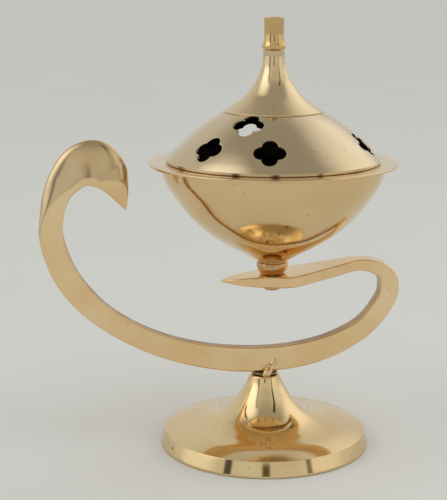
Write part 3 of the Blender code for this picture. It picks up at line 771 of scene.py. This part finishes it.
def make_dome():
    """Pierced dome with softened cut-out edges, its flat crown and its upright lip."""
    profile = dome_profile()
    low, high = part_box("lid_dome")
    crown, bottom, radius = high[2], low[2] - SEAM, radius_of("lid_dome")
    outer = Dome(profile)
    inner_line = inward(profile[:-3], LID_WALL)
    inner = Dome(inner_line)
    frames = hole_frames(outer)
    soft = 0.00018
    levels = [(soft, 0.0), (soft * 0.35, soft * 0.30), (0.0, soft)]
    outlines = {grow: quatrefoil_outline(grow) for grow, _ in levels}
    tops = [[on_surface(f, p, outer) for p in outlines[soft]] for f in frames]
    seconds = [[on_surface(f, p, outer, soft * 0.30) for p in outlines[soft * 0.35]] for f in frames]
    thirds = [[on_surface(f, p, outer, soft) for p in outlines[0.0]] for f in frames]
    bottoms = [[on_surface(f, p, inner) for p in outlines[0.0]] for f in frames]
    shape = bmesh.new()
    along = shape.verts.layers.float.new("along")

    def vertex(co):
        made = shape.verts.new(co)
        made[along] = math.hypot(co[0], co[1]) / MM * 1.3
        return made

    def sheet(surface, loops, start, end, rings, flip):
        points, faces = pierced_sheet(loops, start, end, rings)
        made = [vertex((p.x, p.y, surface.height(p.length))) for p in points]
        for face in faces:
            corners = [made[i] for i in face]
            shape.faces.new(reversed(corners) if flip else corners)
        first, last = made[:ROUND], made[ROUND:2 * ROUND]
        holes = []
        start_at = 2 * ROUND
        for loop in loops:
            holes.append(made[start_at:start_at + len(loop)])
            start_at += len(loop)
        return first, last, holes

    def ring_of(radius_, height):
        return [vertex((x, y, height)) for x, y in circle(radius_)]

    def bridge(upper, lower):
        for index in range(len(upper)):
            after = (index + 1) % len(upper)
            shape.faces.new((upper[index], lower[index], lower[after], upper[after]))

    outer_first, outer_last, outer_holes = sheet(outer, tops, 0.0175, profile[-1][0], 46, False)
    inner_first, inner_last, inner_holes = sheet(inner, bottoms, 0.0170, inner_line[-1][0], 40, True)
    for top_row, second, third, bottom_row in zip(outer_holes, seconds, thirds, inner_holes):
        second_row = [vertex(p) for p in second]
        third_row = [vertex(p) for p in third]
        for upper, lower in ((top_row, second_row), (second_row, third_row), (third_row, bottom_row)):
            bridge(upper, lower)
    crown_rows = [ring_of(ROD_HOLE, crown), ring_of(0.0060, crown - 0.0001), ring_of(0.0120, crown - 0.0005)]
    for upper, lower in zip(crown_rows, [*crown_rows[1:], outer_first]):
        bridge(upper, lower)
    lip = 0.00115
    edge_rows = [ring_of(radius, bottom + 0.0002), ring_of(radius - 0.0002, bottom),
                 ring_of(radius - lip + 0.0002, bottom), ring_of(radius - lip, bottom + 0.0002),
                 ring_of(radius - lip, bottom + 0.0009), inner_last]
    for upper, lower in zip([outer_last, *edge_rows], edge_rows):
        bridge(upper, lower)
    under = [ring_of(0.0120, crown - 0.0005 - LID_WALL), ring_of(0.0060, crown - 0.0001 - LID_WALL),
             ring_of(ROD_HOLE, crown - LID_WALL), crown_rows[0]]
    for upper, lower in zip([inner_first, *under], under):
        bridge(upper, lower)
    mesh = finish_mesh(shape, "lid_dome_shell", 32.0)
    piece = add_piece("lid_dome_shell", mesh, BOWL_LINE, LID_BRASS, LID, "lid_dome")
    darken_inner_where(piece, lambda c, n: n.z < -0.3 and c.z > bottom + 0.0005)


def make_lid():
    """Dome, locating ring, spire, finial and their fixings."""
    make_dome()
    low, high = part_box("lid_locating_ring")
    outside = radius_of("lid_locating_ring")
    profile = rounded([(outside - 0.0012, high[2]), (outside, high[2]), (outside, low[2]),
                       (outside - 0.0012, low[2]), (outside - 0.0012, high[2] - 0.0001)], 0.0003)
    ring = turned("lid_mouth_ring", profile, BOWL_LINE, ROUND, LID_BRASS, LID, "lid_locating_ring", ring=True)
    darken_inner_where(ring, faces_axis)
    turned("spire_flare", spire_profile(), BOWL_LINE, ROUND, SPIRE_BRASS, LID, "spire", ring=True)
    turned("finial_tip", finial_profile(), BOWL_LINE, NARROW, TIP_BRASS, LID, "finial")
    washer("lid_washer_disc", "lid_washer", BOWL_LINE, ROD_HOLE)
    nut("lid_hex_nut", "lid_nut", LID, ROD_HOLE)
    make_rod()


def spire_profile():
    """Hollow flared spire."""
    low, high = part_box("spire")
    top, foot, wide = high[2], low[2] - SEAM, radius_of("spire")
    wall = 0.0010
    flare = smooth_curve([(0.0044, top - 0.0004), (0.0044, 0.1625), (0.0049, 0.1590), (0.0060, 0.1558),
                          (0.0073, 0.1528), (0.0094, 0.1498), (0.0122, 0.1468), (0.0162, 0.1440),
                          (wide, low[2] + 0.0003)], 10)
    hollow = inward(flare[4:-10], wall)
    base = rounded([flare[-2], flare[-1], (wide, foot), (wide - wall, foot)], 0.0001)[1:]
    return ([(ROD_HOLE, top), (0.0041, top)] + flare[:-1] + base + list(reversed(hollow))
            + [(0.0034, top - wall), (ROD_HOLE, top - wall)])


def finial_profile():
    """Turned tip: a waisted stem over a bead, with a faint hollow in its flat top."""
    low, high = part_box("finial")
    top, bottom = high[2], low[2] - SEAM
    stem = smooth_curve([(0.0041, top - 0.0004), (0.0040, 0.1745), (0.0040, 0.1712), (0.0043, 0.1688),
                         (0.0048, 0.1674), (0.0049, 0.1668), (0.0047, bottom + 0.0004)], 8)
    crown = rounded([(0.0, top - 0.0002), (0.0028, top - 0.0002), (0.0031, top), (0.0041, top), stem[0],
                     stem[1]], 0.0003)[:-2]
    return crown + stem[1:] + [(0.0045, bottom), (ROD_HOLE, bottom), (ROD_HOLE, 0.1723), (0.0, 0.1723)]


def make_rod():
    """Threaded rod through the spire."""
    low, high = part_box("finial_rod")
    radius = ROD_SHANK
    pitch = 0.0007
    thread = []
    crest = high[2] - 0.0003
    while crest - pitch > low[2]:
        thread += [(radius, crest), (radius - 0.00025, crest - pitch / 2)]
        crest -= pitch
    profile = [(0.0, high[2]), (radius - 0.0003, high[2]), *thread, (radius - 0.0003, low[2]), (0.0, low[2])]
    turned("spire_rod", profile, BOWL_LINE, 48, STEEL, LID, "finial_rod")


# ---------------------------------------------------------------- camera, floor and light
def make_camera():
    """Camera in front, a little to the thumb leaf's side and above, aimed slightly down."""
    data = bpy.data.cameras.new("camera")
    data.sensor_width = 36.0
    data.lens = 91.8
    data.clip_start = 0.01
    camera = bpy.data.objects.new("camera", data)
    away, up, turn = 0.5186, 0.1942, math.radians(9.8)
    dip, aside = math.radians(12.10), math.radians(2.24)
    camera.location = BOWL_LINE + Vector((-away * math.sin(turn), -away * math.cos(turn), up))
    camera.rotation_euler = (math.radians(90.0) - dip, 0.0, aside - turn)
    bpy.context.scene.collection.objects.link(camera)
    bpy.context.scene.camera = camera


def make_floor():
    """Wide pale table top."""
    half_size = 15.0
    steps = 40
    shape = bmesh.new()
    bmesh.ops.create_grid(shape, x_segments=steps, y_segments=steps, size=half_size)
    mesh = bpy.data.meshes.new("floor")
    shape.to_mesh(mesh)
    shape.free()
    graph = Graph("floor_paper")
    point = graph.object_point()
    cloud = graph.noise(point, 9.0, 3.0)
    fine = graph.noise(point, 260.0, 4.0, 0.7)
    pale = graph.mix(graph.ramp(cloud, 0.3, 0.7, 0.0, 1.0), FLOOR_LIGHT, FLOOR_DARK)
    pale = graph.mix(graph.ramp(fine, 0.3, 0.7, 0.0, 0.5), pale, FLOOR_DARK)
    graph.link(pale, graph.shader.inputs["Base Color"])
    graph.shader.inputs["Roughness"].default_value = 0.95
    graph.shader.inputs["Specular IOR Level"].default_value = 0.05
    floor = bpy.data.objects.new("floor", mesh)
    floor.location = (0.0, 0.0, -0.0002)
    mesh.materials.append(graph.material)
    bpy.context.scene.collection.objects.link(floor)


def area_light(name, where, target, size, power, colour=(1.0, 1.0, 1.0)):
    """Rectangular soft light aimed at a point, which lights the table but shows in no reflection."""
    data = bpy.data.lights.new(name, 'AREA')
    data.shape = 'RECTANGLE'
    data.size, data.size_y = size
    data.energy = power
    data.color = colour
    light = bpy.data.objects.new(name, data)
    light.location = where
    light.rotation_mode = 'QUATERNION'
    light.rotation_quaternion = (Vector(target) - Vector(where)).to_track_quat('-Z', 'Y')
    light.visible_camera = False
    light.visible_glossy = False
    bpy.context.scene.collection.objects.link(light)


# Soft patches of the room round the table: azimuth (0 in front, 90 to the right), elevation,
# inner and outer angle in degrees, and the light added there.
ROOM_PATCHES = [
    (-80.0, 42.0, 8.0, 33.0, (0.85, 0.84, 0.82)),
    (-88.0, 8.0, 8.0, 28.0, (0.25, 0.25, 0.24)),
    (118.0, 35.0, 6.0, 38.0, (0.46, 0.46, 0.45)),
    (60.0, 14.0, 8.0, 30.0, (0.20, 0.20, 0.19)),
    (0.0, 88.0, 20.0, 58.0, (-0.28, -0.29, -0.30)),
    (5.0, 28.0, 12.0, 30.0, (-0.03, -0.05, -0.08)),
]
# Dark upright stands: azimuth, half width, lower and upper end in degrees, and the light taken away.
ROOM_STANDS = [
    (-49.0, 5.0, -4.0, 56.0, 0.58),
    (-7.0, 5.0, -4.0, 22.0, 0.55),
    (41.0, 3.6, -4.0, 60.0, 0.58),
]
ROOM_LEVEL = (0.665, 0.665, 0.65)
FLOOR_LIGHT = (0.82, 0.83, 0.81)
FLOOR_DARK = (0.795, 0.805, 0.785)


class Room:
    """World nodes that add up smooth patches of light by direction."""

    def __init__(self):
        self.world = bpy.data.worlds.new("surround")
        self.world.use_nodes = True
        self.tree = self.world.node_tree
        self.direction = self.tree.nodes.new("ShaderNodeTexCoord").outputs["Generated"]
        self.total = None

    def along(self, vector):
        """How far the direction points along a unit vector."""
        made = self.tree.nodes.new("ShaderNodeVectorMath")
        made.operation = 'DOT_PRODUCT'
        made.inputs[1].default_value = vector
        self.tree.links.new(self.direction, made.inputs[0])
        return made.outputs["Value"]

    def step(self, value, start, end):
        """Smooth 0 to 1 as value goes from start to end."""
        made = self.tree.nodes.new("ShaderNodeMapRange")
        made.interpolation_type = 'SMOOTHSTEP'
        low, high, first, last = (start, end, 0.0, 1.0) if start < end else (end, start, 1.0, 0.0)
        for key, number in zip(("From Min", "From Max", "To Min", "To Max"), (low, high, first, last)):
            made.inputs[key].default_value = number
        self.tree.links.new(value, made.inputs["Value"])
        return made.outputs["Result"]

    def math(self, operation, first, second=None):
        made = self.tree.nodes.new("ShaderNodeMath")
        made.operation = operation
        self.tree.links.new(first, made.inputs[0])
        if second is not None:
            self.tree.links.new(second, made.inputs[1])
        return made.outputs[0]

    def add(self, share, colour):
        """Add a colour times a share to the room."""
        patch = self.tree.nodes.new("ShaderNodeVectorMath")
        patch.operation = 'SCALE'
        patch.inputs[0].default_value = colour
        self.tree.links.new(share, patch.inputs["Scale"])
        add = self.tree.nodes.new("ShaderNodeVectorMath")
        add.operation = 'ADD'
        add.inputs[1].default_value = ROOM_LEVEL
        self.tree.links.new(patch.outputs[0], add.inputs[0])
        if self.total is not None:
            self.tree.links.new(self.total, add.inputs[1])
        self.total = add.outputs[0]

    def patch(self, azimuth, elevation, inner, outer, colour):
        """Round soft patch."""
        a, e = math.radians(azimuth), math.radians(elevation)
        facing = self.along((math.sin(a) * math.cos(e), -math.cos(a) * math.cos(e), math.sin(e)))
        self.add(self.step(facing, math.cos(math.radians(outer)), math.cos(math.radians(inner))), colour)

    def stand(self, azimuth, half, low, high, strength):
        """Dark upright bar."""
        a = math.radians(azimuth)
        aside = self.math('ABSOLUTE', self.along((math.cos(a), math.sin(a), 0.0)))
        width = math.sin(math.radians(half))
        share = self.step(aside, width, width * 0.6)
        ahead = self.along((math.sin(a), -math.cos(a), 0.0))
        share = self.math('MULTIPLY', share, self.step(ahead, 0.0, 0.1))
        height = self.along((0.0, 0.0, 1.0))
        for start, end in ((low, low + 3.0), (high, high - 5.0)):
            rise = self.step(height, math.sin(math.radians(start)), math.sin(math.radians(end)))
            share = self.math('MULTIPLY', share, rise)
        self.add(share, (-strength, -strength, -strength))

    def finish(self):
        floored = self.tree.nodes.new("ShaderNodeVectorMath")
        floored.operation = 'MAXIMUM'
        floored.inputs[1].default_value = (0.02, 0.018, 0.015)
        self.tree.links.new(self.total, floored.inputs[0])
        self.tree.links.new(floored.outputs[0], self.tree.nodes["Background"].inputs["Color"])
        bpy.context.scene.world = self.world


def make_room():
    """Smooth pale room: brighter at both sides, dimmer overhead, with dark stands in front."""
    room = Room()
    for row in ROOM_PATCHES:
        room.patch(*row)
    for row in ROOM_STANDS:
        room.stand(*row)
    room.finish()


def make_light():
    """The room, a soft overhead light for the table's shadow, and a plain view transform."""
    make_room()
    area_light("overhead", (0.35, -0.45, 1.25), (0.0, -0.1, 0.0), (0.8, 0.8), 2.3)
    bpy.context.scene.view_settings.view_transform = 'Standard'


make_camera()
make_floor()
make_light()
make_foot()
make_handle()
make_bowl()
make_lid()
